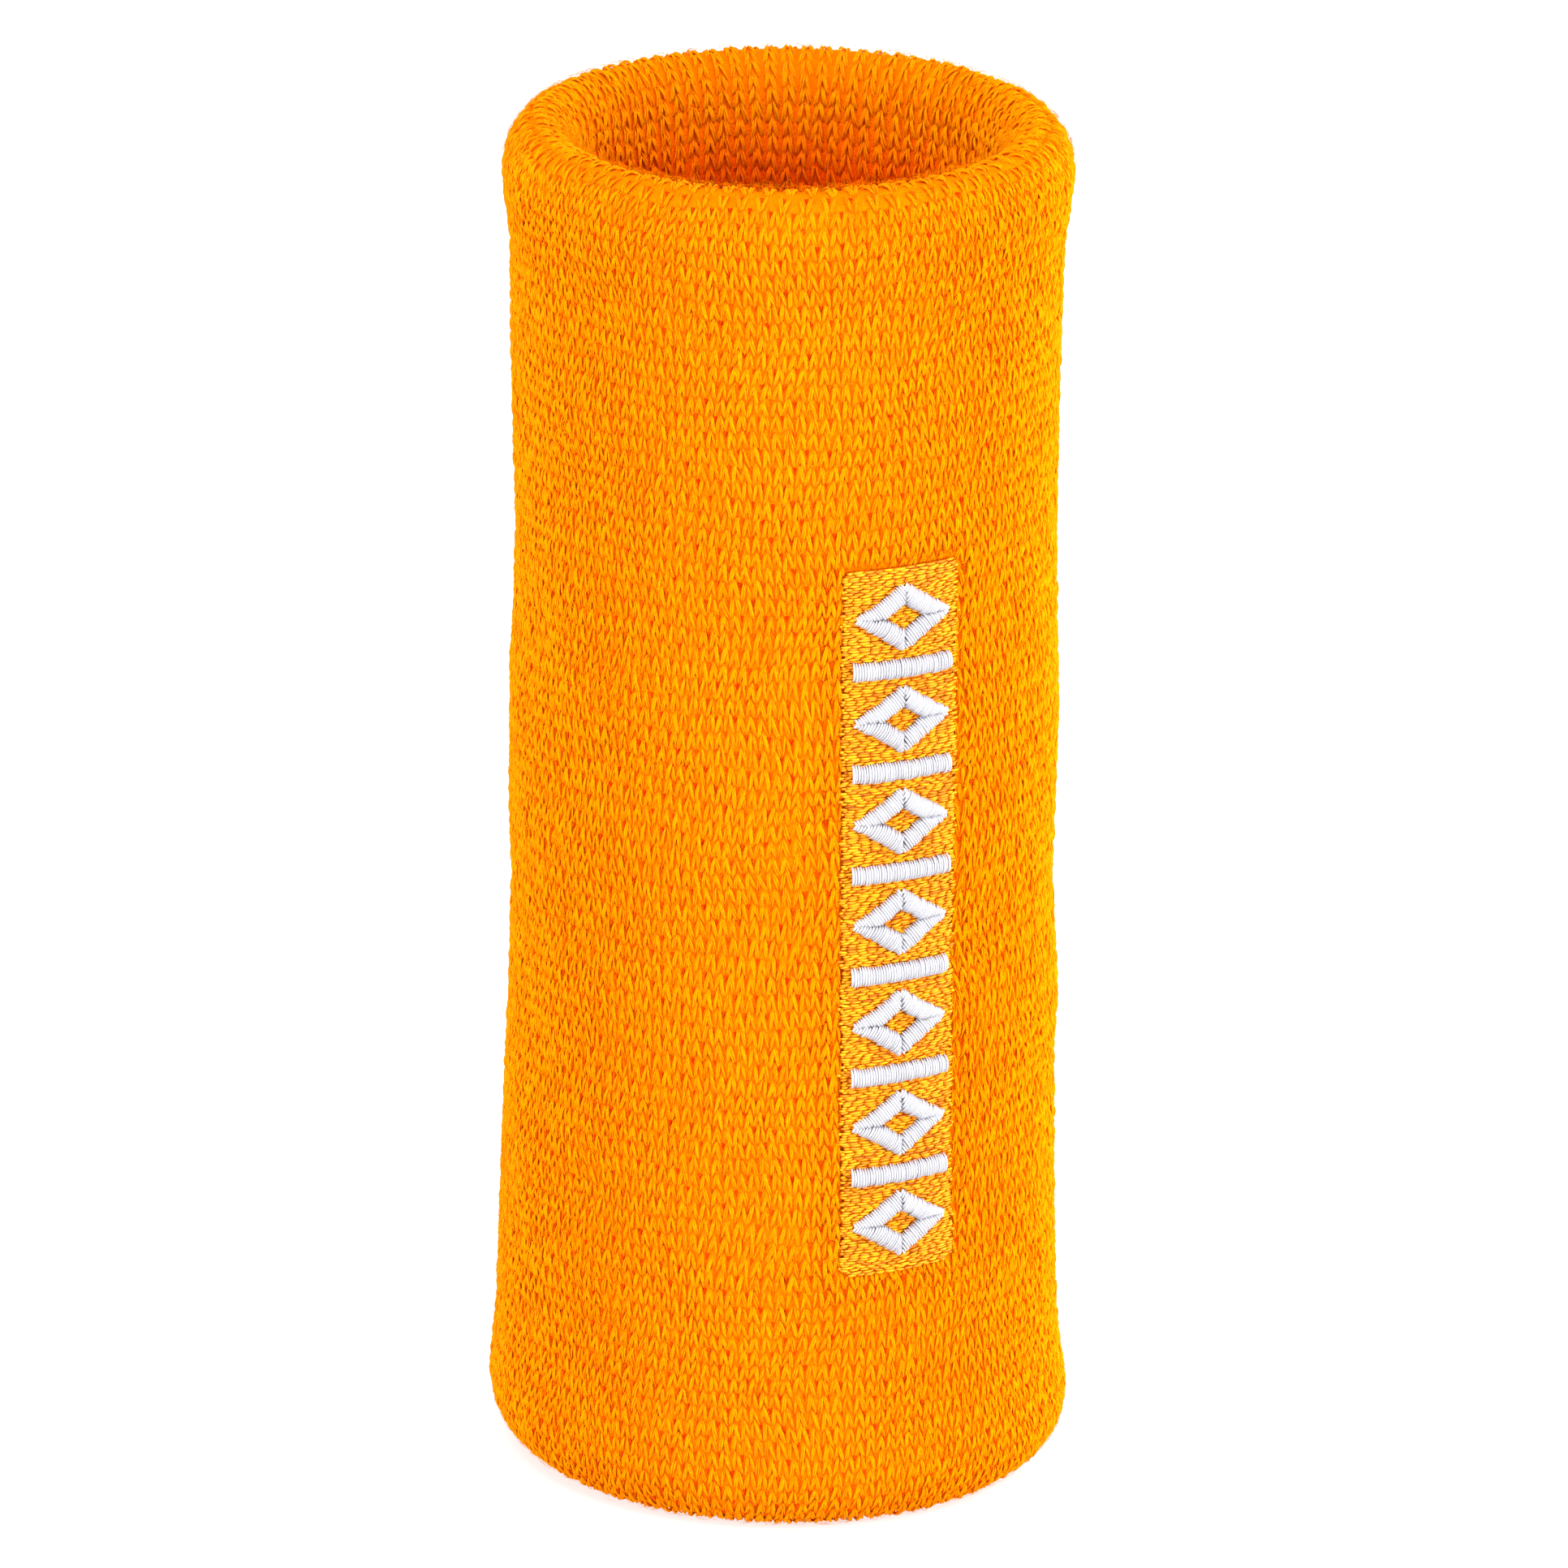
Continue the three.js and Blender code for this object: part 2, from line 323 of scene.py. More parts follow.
def noise(tree, scale, detail=2.0, stretch=(1, 1, 1)):
    """A noise texture's output over the object, scale in waves per metre."""
    where = tree.nodes.new("ShaderNodeTexCoord")
    mapping = tree.nodes.new("ShaderNodeMapping")
    mapping.inputs["Scale"].default_value = stretch
    texture = tree.nodes.new("ShaderNodeTexNoise")
    texture.inputs["Scale"].default_value = scale
    texture.inputs["Detail"].default_value = detail
    tree.links.new(where.outputs["Object"], mapping.inputs["Vector"])
    tree.links.new(mapping.outputs["Vector"], texture.inputs["Vector"])
    return texture.outputs["Fac"]


def ramp(tree, fac, *stops):
    """A colour ramp of (position, (r, g, b)) stops in linear colour."""
    node = tree.nodes.new("ShaderNodeValToRGB")
    elements = node.color_ramp.elements
    while len(elements) < len(stops):
        elements.new(0.5)
    for element, (position, colour) in zip(elements, stops):
        element.position = position
        element.color = (*colour, 1)
    tree.links.new(fac, node.inputs["Fac"])
    return node.outputs["Color"]


def mixed(tree, a, b, fac, kind="MIX"):
    node = tree.nodes.new("ShaderNodeMix")
    node.data_type = "RGBA"
    node.blend_type = kind
    if isinstance(fac, float):
        node.inputs["Factor"].default_value = fac
    else:
        tree.links.new(fac, node.inputs["Factor"])
    tree.links.new(a, node.inputs[6])
    tree.links.new(b, node.inputs[7])
    return node.outputs[2]


def bump(tree, shader, height, strength, distance):
    node = tree.nodes.new("ShaderNodeBump")
    node.inputs["Strength"].default_value = strength
    node.inputs["Distance"].default_value = distance
    tree.links.new(height, node.inputs["Height"])
    tree.links.new(node.outputs["Normal"], shader.inputs["Normal"])


# Yarn colours along the tone attribute: painted shade from DEEP_SHADE_ORANGE through MID_ORANGE, up to
# the yarn's own colour ORANGE.
ORANGE = (1.0, 0.375, 0.0005)
MID_ORANGE = (1.0, 0.25, 0.0003)
DEEP_SHADE_ORANGE = (0.85, 0.045, 0.0001)


def yarn_material(name, stretch, sheen=0.03):
    """Soft spun yarn with fibres along it; its tone paints shade where a strand dives into the fabric and
    a painted highlight on its crest.
    """
    material, tree, shader = node_material(name, 0.95, sheen, (1.0, 0.75, 0.45), 0.0)
    tone = tree.nodes.new("ShaderNodeAttribute")
    tone.attribute_name = "tone"
    base = ramp(tree, tone.outputs["Fac"], (0.0, DEEP_SHADE_ORANGE), (0.5, MID_ORANGE), (1.0, ORANGE))
    streak = ramp(tree, noise(tree, 7000, 2, stretch), (0.35, (0.97, 0.78, 0.7)), (0.6, (1.0, 1.0, 1.0)))
    patch = ramp(tree, noise(tree, 90, 3), (0.3, (1.0, 0.95, 0.95)), (0.7, (1.0, 1.0, 1.0)))
    colour = mixed(tree, mixed(tree, base, streak, 1.0, "MULTIPLY"), patch, 1.0, "MULTIPLY")
    tree.links.new(colour, shader.inputs["Base Color"])
    bump(tree, shader, noise(tree, 8000, 2, stretch), 0.8, 0.0003)
    return material


outer_yarn = yarn_material("outer_yarn", (1, 1, 0.16))
ground_yarn = yarn_material("ground_yarn", (1, 1, 0.4), 0.0)
fuzz_fibre = yarn_material("fuzz_fibre", (1, 1, 1), 0.0)


def thread_material(name, stops, roughness, specular):
    """Shiny embroidery thread."""
    material, tree, shader = node_material(name, roughness, specular=specular)
    tone = tree.nodes.new("ShaderNodeAttribute")
    tone.attribute_name = "tone"
    base = ramp(tree, tone.outputs["Fac"], *stops)
    tree.links.new(base, shader.inputs["Base Color"])
    bump(tree, shader, noise(tree, 9000, 1), 0.25, 0.00005)
    return material


# Thread colours along the tone attribute: the low stops are painted shade, the white's tinted lavender,
# and the high gold stop a painted highlight.
GOLD = ((0.0, (0.3, 0.045, 0.0003)), (0.5, (0.88, 0.25, 0.0006)), (1.0, (1.0, 0.45, 0.0015)))
WHITE = ((0.0, (0.37, 0.37, 0.44)), (1.0, (0.54, 0.54, 0.56)))
gold_thread = thread_material("gold_thread", GOLD, 0.4, 0.22)
white_thread = thread_material("white_thread", WHITE, 0.5, 0.4)

# ---------------------------------------------------------------- embroidered panel's outline
panel_low, panel_high = (np.array(v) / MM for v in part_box("fill_stitching"))
PANEL_HALF = (panel_high[0] - panel_low[0]) / 2
PANEL_Z = (panel_low[2], panel_high[2])
PANEL_CORNER = 1.2


def panel_half_width(z):
    """Half the panel's width at a height, less its corner rounding; negative outside it."""
    into = np.maximum(PANEL_Z[0] + PANEL_CORNER - z, z - PANEL_Z[1] + PANEL_CORNER).clip(0)
    rounding = PANEL_CORNER - np.sqrt((PANEL_CORNER**2 - into**2).clip(0))
    inside = (z > PANEL_Z[0]) & (z < PANEL_Z[1])
    return np.where(inside, PANEL_HALF - rounding, -1)


def beyond_panel(angle, s):
    """How far a place is outside the panel's outline in mm, less than 0 inside it."""
    z = np.interp(s, path_s, path_z)
    x = np.where(np.cos(angle) > 0.5, outer_radius(z) * np.sin(angle), 99)
    x = np.where((s > CREST) & (s < BOTTOM), x, 99)
    middle = sum(PANEL_Z) / 2
    across = np.abs(x) - PANEL_HALF
    along = np.abs(z - middle) - (PANEL_Z[1] - PANEL_Z[0]) / 2
    outside = np.hypot(across.clip(0), along.clip(0))
    return np.where((across < 0) & (along < 0), np.maximum(across, along), outside)


def wander(s):
    """How far the columns stray sideways, in mm: less inside than outside."""
    return np.interp(s, [CREST - 2, CREST + 4, BOTTOM - 4, BOTTOM + 2], [0.18, 0.42, 0.42, 0.18])


def knit_place(angle, s, h):
    """A knitted place: wavering columns and courses, pressed down beside the embroidery."""
    r = np.interp(s, path_s, path_r)
    moved_angle = angle + wander(s) * sway(angle, s) / r
    moved_s = s + 0.3 * surge(angle, s)
    gap = beyond_panel(moved_angle, moved_s)
    press = 0.3 * np.exp(-((gap.clip(0) / 0.4) ** 2)) - 0.16 * np.exp(-(((gap - 1.6) / 0.9) ** 2))
    return place(moved_angle, moved_s, h - press - 2.0 * (-gap).clip(0, 0.45))


# ---------------------------------------------------------------- the knit
def rows(start, end, pitch, squeeze):
    """Places of courses between two ways, a share squeeze closer together at the two ends."""
    count = round((end - start) / pitch)
    t = (np.arange(count) + 0.5) / count
    t = t - squeeze * np.sin(TURN * t) / TURN
    return start + (end - start) * t


LEG_T = np.array([0.0, 0.07, 0.25, 0.5, 0.75, 0.93, 1.0])
SHORT_LEG_T = np.array([0.0, 0.14, 0.5, 0.86, 1.0])


def spindle(t):
    """Thickness along a strand, from nothing at its tips to 1."""
    return (1 - np.abs(2 * t - 1) ** 4) ** 0.6


def legs(own, angle, apex, length, spread, yarn, plies, crest, dive, t, shade, peak=0.5, lean=0.0):
    """Both legs of V stitches, each of a few plies: places, radii and tones for Bundle.add.

    angle and apex place each stitch's point, spread is how far its legs stand from its middle at the
    point and at the top, yarn a leg's radius, crest and dive the height of its back and how far its
    ends go down, peak where along it the back is highest, shade its lowest and highest tone.
    """
    n = len(angle)
    made = []
    lean = lean + own.normal(0, 0.04, n)[:, None]
    sink = dive * np.abs(2 * t ** (math.log(0.5) / math.log(peak)) - 1) ** 2.4
    for side in (-1, 1):
        size = own.normal(1, 0.08, n)[:, None]
        shift = own.normal(0, 0.05, n)[:, None]
        slip = own.normal(0, 0.1, n)[:, None]
        rise = own.normal(0, 0.05, n)[:, None]
        long = length[:, None] * own.normal(1, 0.06, n)[:, None]
        light = own.uniform(*shade, n)[:, None]
        first = own.normal(0, 0.5, n)[:, None] + (0 if plies == 2 else math.pi / 6)
        for ply in range(plies):
            turn = first + TURN * ply / plies + 1.3 * (t - 0.5)
            lateral = side * (spread[0] + (spread[1] - spread[0]) * t) + shift + lean * t * long
            lateral = lateral + 0.48 * yarn * np.cos(turn)
            start = slip + own.normal(0, 0.07, n)[:, None]
            s = apex[:, None] + start - long * t
            h = crest - yarn - sink + rise * spindle(t) + 0.48 * yarn * np.sin(turn)
            around = angle[:, None] + lateral / np.interp(s, path_s, path_r)
            # Painted shade towards a leg's tips where it dives and a painted highlight along its middle,
            # times the leg's random tone.
            tone = light * (0.45 + 0.55 * spindle(t) ** 1.5) + 0 * s
            made.append((around, s, h, 0.56 * yarn * size * spindle(t), tone))
    return [np.concatenate(part) for part in zip(*made)]


def keep_off_panel(parts, margin):
    """Leaves out strands whose middle lies on the embroidered panel."""
    middle = parts[0].shape[1] // 2
    angle, s = parts[0][:, middle], parts[1][:, middle]
    moved = angle + wander(s) * sway(angle, s) / np.interp(s, path_s, path_r)
    off = beyond_panel(moved, s + 0.3 * surge(angle, s)) > margin
    return [part[off] for part in parts]


OUTER_COLUMNS = 160
OUTER_PERIOD = 3.68  # two courses
OUTER_YARN = 0.225
INNER_COLUMNS = 80
INNER_PITCH = 1.74
INNER_YARN = 0.25
INNER_LEG = 2.6
EYE_DEPTH = 0.42
GROUND_DEPTH = 0.6
GROUND_BACK = 1.3


def outer_stitches(own, first, count):
    """Angle, point and period of the outside's stitches: every other column half a period lower."""
    courses = rows(CREST + 2.0, BOTTOM + 1.5, OUTER_PERIOD, 0.05)
    pitch = np.gradient(courses)
    columns = np.arange(first, first + count)
    column, course = (a.ravel() for a in np.meshgrid(columns, np.arange(len(courses))))
    angle = (column + 0.5) / OUTER_COLUMNS * TURN
    step = pitch[course]
    return angle, courses[course] + (column % 2) * step / 2, step


def column_window(columns, first, count, start, end):
    """The lowest and highest angle and way that a run of columns reaches."""
    edge = TURN / columns
    return ((first - 1.5) * edge, start - 4), ((first + count + 1.5) * edge, end + 4)


def knit_outer():
    """The outside: columns of long V stitches, with small ones between them and flat dark strands sunk in
    the eyes as painted shade.
    """
    pieces = 10
    per = OUTER_COLUMNS // pieces
    for i in range(pieces):
        own = np.random.default_rng(100 + i)
        angle, apex, step = outer_stitches(own, i * per, per)
        bundle = Bundle(column_window(OUTER_COLUMNS, i * per, per, CREST, BOTTOM))
        big = legs(
            own, angle, apex, 0.7 * step, (0.08, 0.62), OUTER_YARN, 3, 0.0, 0.42, LEG_T, (0.7, 1.0)
        )
        bundle.add(*keep_off_panel(big, -0.7), sides=4, where=knit_place)
        bundle.piece(f"knit_outer_{i + 1}", outer_yarn, "orange_knit", "knit_tube")
    pieces = 5
    per = OUTER_COLUMNS // pieces
    for i in range(pieces):
        own = np.random.default_rng(150 + i)
        angle, apex, step = outer_stitches(own, i * per, per)
        bundle = Bundle(column_window(OUTER_COLUMNS, i * per, per, CREST, BOTTOM))
        # Flat strands at a low tone in the holes between stitches: painted shade.
        t = np.array([0.0, 0.3, 0.65, 0.9, 1.0])
        eye_s = (apex - 0.4 * step)[:, None] + own.normal(0, 0.08, len(apex))[:, None] - 0.85 * t
        wide = np.array([0.0, 0.07, 0.17, 0.23, 0.0]) * own.normal(1, 0.15, len(apex))[:, None]
        eye_shade_tone = own.uniform(0, 0.3, len(apex))[:, None]
        eye_shade = [angle[:, None] + 0 * eye_s, eye_s, 0 * eye_s - EYE_DEPTH, wide, eye_shade_tone + 0 * eye_s]
        bundle.add(*keep_off_panel(eye_shade, 0.2), sides=4, flat=0.35, where=knit_place)
        small = legs(
            own, angle, apex + step * 0.42, 0.62 * step, (0.07, 0.58), OUTER_YARN, 2, -0.04, 0.32,
            SHORT_LEG_T, (0.72, 1.0),
        )
        bundle.add(*keep_off_panel(small, -0.4), sides=4, where=knit_place)
        bundle.piece(f"knit_sunk_{i + 1}", outer_yarn, "orange_knit", "knit_tube")


def knit_inner():
    """The inside: plain jersey, half as many columns, pointing along the fabric as the outside does."""
    pieces = 4
    per = INNER_COLUMNS // pieces
    spans = {"upper": (0.9, CREST + 2.2), "lower": (BOTTOM + 1.5, LENGTH - 0.9)}
    for i in range(pieces):
        own = np.random.default_rng(200 + i)
        for side, (start, end) in spans.items():
            courses = rows(start + 1.9, end, INNER_PITCH, 0.0)
            columns = np.arange(i * per, (i + 1) * per)
            column, course = (a.ravel() for a in np.meshgrid(columns, np.arange(len(courses))))
            angle = (column + 0.5) / INNER_COLUMNS * TURN
            bundle = Bundle(column_window(INNER_COLUMNS, i * per, per, start, end))
            jersey = legs(
                own, angle, courses[course], np.full(len(angle), INNER_LEG), (0.1, 0.62), INNER_YARN,
                2, 0.0, 0.55, LEG_T, (0.8, 1.0), 0.4, -0.05,
            )
            # Painted shade: the inside's stitches darken deeper below the folds.
            away = np.minimum(np.abs(jersey[1] - CREST), np.abs(jersey[1] - BOTTOM))
            jersey[4] = jersey[4] * np.interp(away, [8, 14, 21], [1.0, 0.36, 0.04])
            bundle.add(*jersey, sides=4, where=knit_place)
            bundle.piece(f"knit_inner_{side}_{i + 1}", outer_yarn, "orange_knit", "knit_tube")


def ground():
    """The fabric behind the stitches: a closed turned section, open only at the seam."""
    way = np.arange(0.9, LENGTH - 0.9, 1.1)
    around = 176
    outside = np.interp(way, [CREST - 3, CREST, BOTTOM, BOTTOM + 3], [0, 1, 1, 0])
    angle = TURN * np.arange(around) / around
    grid_a, grid_s = np.meshgrid(angle, way)
    under = 0.6 * np.interp(beyond_panel(grid_a, grid_s), [-0.4, 0.6], [1, 0])
    face = place(grid_a, grid_s, (0.12 * outside - GROUND_DEPTH)[:, None] - under)
    back = place(grid_a, grid_s, 0 * grid_s - GROUND_BACK)
    points = np.concatenate([face, back[::-1]]).reshape(-1, 3)
    n = 2 * len(way)
    i, j = np.meshgrid(np.arange(n), np.arange(around), indexing="ij")
    i2, j2 = (i + 1) % n, (j + 1) % around
    corners = np.stack(
        [i * around + j, i2 * around + j, i2 * around + j2, i * around + j2], -1
    ).reshape(-1)
    uv = np.stack([np.tile(angle / TURN, n), np.repeat(np.arange(n) / n, around)], -1)
    # Painted shade: mid tone behind the outside's stitches, and a tone falling from 0.4 to 0.1 deeper
    # inside from the folds.
    near = np.minimum(np.abs(way - CREST), np.abs(way - BOTTOM))
    shade = np.maximum(np.interp(near, [8, 15], [0.4, 0.1]), 0.5 * outside)
    tone = np.repeat(np.concatenate([shade, shade[::-1]]), around)
    starts = np.arange(n * around) * 4
    made = mesh_object("knit_ground", points, starts, corners, uv, tone, ground_yarn)
    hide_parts("knit_tube")


def fuzz():
    """Loose fibre ends over the whole face, thickest on the folds."""
    regions = {
        "crest": (CREST - 6, CREST + 6, 6000, 0.14),
        "foot": (BOTTOM - 6, BOTTOM + 3, 1500, 0.06),
        "side": (CREST + 6, BOTTOM - 6, 6000, 0.06),
    }
    for i, (name, (start, end, count, tall)) in enumerate(regions.items()):
        own = np.random.default_rng(300 + i)
        angle = own.uniform(0, TURN, count)
        s = own.uniform(start, end, count)
        keep = beyond_panel(angle, s) > 0.3
        angle, s = angle[keep], s[keep]
        count = len(angle)
        t = np.array([0, 0.15, 0.4, 0.65, 0.88, 1.0])
        heading = own.uniform(0, TURN, count)[:, None]
        curl = own.normal(0, 2.6, count)[:, None]
        long = own.uniform(0.5, 1.9, count)[:, None]
        turn = heading + curl * t
        across = np.cumsum(np.cos(turn) * np.diff(t, prepend=0) * long, axis=1)
        along = np.cumsum(np.sin(turn) * np.diff(t, prepend=0) * long, axis=1)
        peak = (own.exponential(tall, count) + 0.05).clip(0.05, 0.9)[:, None]
        h = -0.15 + (0.15 + peak) * np.sin(math.pi * (0.05 + 0.75 * t))
        line_s = s[:, None] + along
        r = np.interp(line_s, path_s, path_r)
        thick = own.uniform(0.009, 0.014, count)[:, None] + 0 * t
        bundle = Bundle(((0, start - 3), (TURN, end + 3)))
        tone = own.uniform(0.5, 1, count)[:, None] + 0 * t
        bundle.add(angle[:, None] + across / r, line_s, h, thick, tone, sides=3)
        bundle.piece(f"fuzz_{name}", fuzz_fibre, "orange_knit", "knit_tube")


# ---------------------------------------------------------------- the embroidery
def panel_place(x, z, h):
    """Places on the panel from x across and height z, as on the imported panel."""
    return place(np.arcsin(x / outer_radius(z)), s_at(z), h)


PANEL_WINDOW = ((-PANEL_HALF - 0.5, PANEL_Z[0] - 0.5), (PANEL_HALF + 0.5, PANEL_Z[1] + 0.5))


FILL_PITCH = 0.29
FILL_STITCH = 1.25
FILL_YARN = 0.16
FILL_DEPTH = 0.62
SLAB_TOP, SLAB_BOTTOM = -0.56, -0.78


def fill():
    """Flat fill stitches in staggered rows."""
    own = np.random.default_rng(400)
    z_rows = np.arange(PANEL_Z[0] + 0.15, PANEL_Z[1] - 0.1, FILL_PITCH)
    centre_x, centre_z, half = [], [], []
    for z in z_rows:
        reach = float(panel_half_width(np.array([z]))[0]) + own.normal(-0.05, 0.2)
        at = -reach
        ends = [at]
        at += FILL_STITCH * own.uniform(0.2, 1.0)
        while at < reach - 0.35:
            ends.append(at + own.normal(0, 0.07))
            at += FILL_STITCH * own.uniform(0.8, 1.15)
        ends.append(reach)
        ends = np.array(ends)
        centre_x.append((ends[1:] + ends[:-1]) / 2)
        half.append((ends[1:] - ends[:-1]) / 2)
        centre_z.append(np.full(len(ends) - 1, z))
    centre_x, centre_z, half = (np.concatenate(v) for v in (centre_x, centre_z, half))
    n = len(centre_x)
    t = np.array([-1.06, -0.85, -0.35, 0.35, 0.85, 1.06])
    bow = np.sqrt((1 - (t / 1.1) ** 2).clip(0))
    x = centre_x[:, None] + half[:, None] * t
    tilt = own.normal(0.03, 0.07, n)[:, None]
    z = centre_z[:, None] + own.normal(0, 0.03, n)[:, None] + tilt * half[:, None] * t
    h = (0.27 + own.normal(0, 0.04, n))[:, None] * bow - FILL_DEPTH
    radius = FILL_YARN * own.normal(1, 0.08, n)[:, None] * bow**0.7
    # Random tone per stitch, times painted shade at the stitch's ends and a painted highlight along its
    # middle.
    tone = own.beta(4, 1.1, n)[:, None] * (0.35 + 0.65 * bow**2)
    bundle = Bundle(PANEL_WINDOW)
    bundle.add(x, z, h, radius, tone, where=panel_place)
    bundle.piece("fill_stitches", gold_thread, "gold_fill_thread", "fill_stitching")


def slab():
    """The ground under the fill stitches."""
    across, up = np.linspace(-1, 1, 17), np.linspace(0.004, 0.996, 100)
    z = PANEL_Z[0] + (PANEL_Z[1] - PANEL_Z[0]) * up
    grid_u, grid_z = np.meshgrid(across, z)
    x = grid_u * (panel_half_width(grid_z) - 0.45)
    top, bottom = panel_place(x, grid_z, SLAB_TOP), panel_place(x, grid_z, SLAB_BOTTOM)
    rows_, cols = grid_z.shape
    loop = np.concatenate([top, bottom[:, ::-1]], axis=1)
    around = 2 * cols
    i, j = np.meshgrid(np.arange(rows_ - 1), np.arange(around), indexing="ij")
    j2 = (j + 1) % around
    quads = np.stack(
        [i * around + j, i * around + j2, (i + 1) * around + j2, (i + 1) * around + j], -1
    ).reshape(-1)
    ends = np.concatenate([np.arange(around)[::-1], (rows_ - 1) * around + np.arange(around)])
    starts = np.concatenate([np.arange((rows_ - 1) * around) * 4, len(quads) + np.array([0, around])])
    points = loop.reshape(-1, 3)
    flat_u = np.concatenate([grid_u, grid_u[:, ::-1]], axis=1).ravel()
    flat_z = np.concatenate([grid_z, grid_z], axis=1).ravel()
    uv = np.stack([flat_u * 0.49 + 0.5, (flat_z - PANEL_Z[0]) / (PANEL_Z[1] - PANEL_Z[0])], -1)
    # The gold thread at a low tone: painted shade in the gaps between fill stitches.
    made = mesh_object(
        "fill_ground", points, starts, np.concatenate([quads, ends]), uv, np.full(len(points), 0.25),
        gold_thread,
    )
    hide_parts("fill_stitching")


SATIN_T = np.array([0.0, 0.05, 0.18, 0.36, 0.64, 0.82, 0.95, 1.0])
SATIN_PITCH = 0.29
SATIN_STROKE = 1.9
SATIN_YARN = 0.165
UNDERLAY_YARN = 0.3
UNDERLAY_LIFT = 0.22
UNDERLAY_LINES = (0.28, 0.5, 0.72)
SATIN_BASE = -0.4


def satin_lines(start, end, rise):
    """Satin threads from points start (n, 2) to end (n, 2), arched by rise."""
    line = start[:, None] + (end - start)[:, None] * SATIN_T[:, None]
    arch = (1 - np.abs(2 * SATIN_T - 1) ** 2.6) ** 0.65
    h = SATIN_BASE + rise[:, None] * arch
    return line[..., 0], line[..., 1], h


def satin(own, bundle, start, end, full):
    long = np.linalg.norm(end - start, axis=1)
    keep = long > 0.25
    start, end, long = start[keep], end[keep], long[keep]
    n = len(start)
    way = (end - start) / long[:, None]
    start = start - way * (0.12 + own.uniform(-0.11, 0.11, n))[:, None]
    end = end + way * (0.12 + own.uniform(-0.11, 0.11, n))[:, None]
    rise = 0.32 + 0.52 * (long / full).clip(0, 1) + own.normal(0, 0.03, n)
    x, z, h = satin_lines(start, end, rise)
    radius = SATIN_YARN * own.normal(1, 0.05, n)[:, None] * (1 - np.abs(2 * SATIN_T - 1) ** 6) ** 0.5
    radius = np.maximum(radius, 0.02)
    # Painted shade towards each thread's ends at the stroke's edges and a painted highlight across its
    # middle, times a random tone per thread.
    tone = (0.35 + 0.65 * np.sin(math.pi * SATIN_T)) * own.uniform(0.6, 1.0, n)[:, None]
    bundle.add(x, z, h, radius, tone, where=panel_place)


def underlay(bundle, start, end):
    """Thick strands along a stroke, which the satin lies over."""
    t = np.array([0, 0.08, 0.3, 0.5, 0.7, 0.92, 1.0])
    line = start[:, None] + (end - start)[:, None] * t[:, None]
    n = len(start)
    radius = np.tile(UNDERLAY_YARN * (1 - np.abs(2 * t - 1) ** 6) ** 0.5, (n, 1))
    h = np.full((n, len(t)), SATIN_BASE + UNDERLAY_LIFT)
    # The underlay at a low tone: painted shade under the satin.
    bundle.add(line[..., 0], line[..., 1], h, np.maximum(radius, 0.02), 0.3 + 0 * h, where=panel_place)


def diamond(name, index):
    """A hollow diamond of satin stitch, mitred at its corners, in the box of its CAD node."""
    low, high = (np.array(v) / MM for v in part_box(name))
    own = np.random.default_rng(500 + index)
    middle = np.array([0, (low[2] + high[2]) / 2])
    half = np.array([(high[0] - low[0]) / 2, (high[2] - low[2]) / 2])
    corners = middle + np.array([(half[0], 0), (0, half[1]), (-half[0], 0), (0, -half[1])])
    sharp = math.atan2(half[1], half[0])
    bisector = [math.tan(sharp), math.tan(math.pi / 2 - sharp)] * 2
    bundle = Bundle(((low[0], low[2]), (high[0], high[2])))
    for k in range(4):
        a, b = corners[k], corners[(k + 1) % 4]
        long = np.linalg.norm(b - a)
        along = (b - a) / long
        inward = np.array([-along[1], along[0]])
        p = np.arange(SATIN_PITCH / 2, long, SATIN_PITCH)
        reach = np.minimum(
            SATIN_STROKE, np.minimum(p * bisector[k], (long - p) * bisector[(k + 1) % 4])
        )
        start = a + p[:, None] * along
        for line in UNDERLAY_LINES:
            from_p = line * SATIN_STROKE / bisector[k] + 0.15
            to_p = long - line * SATIN_STROKE / bisector[(k + 1) % 4] - 0.15
            under = a + inward * line * SATIN_STROKE
            underlay(bundle, (under + along * from_p)[None], (under + along * to_p)[None])
        satin(own, bundle, start, start + reach[:, None] * inward, SATIN_STROKE)
    bundle.piece(name + "_threads", white_thread, "white_satin_thread", name)


def bar(name, index):
    """A bar of satin stitch in the box of its CAD node."""
    low, high = (np.array(v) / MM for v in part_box(name))
    own = np.random.default_rng(600 + index)
    x = np.arange(low[0] + SATIN_PITCH / 2, high[0], SATIN_PITCH)
    start = np.stack([x, np.full(len(x), low[2])], -1)
    end = np.stack([x, np.full(len(x), high[2])], -1)
    bundle = Bundle(((low[0], low[2] - 0.3), (high[0], high[2] + 0.3)))
    for line in UNDERLAY_LINES:
        z = low[2] + line * (high[2] - low[2])
        underlay(bundle, np.array([(low[0] + 0.2, z)]), np.array([(high[0] - 0.2, z)]))
    satin(own, bundle, start, end, high[2] - low[2])
    bundle.piece(name + "_threads", white_thread, "white_satin_thread", name)


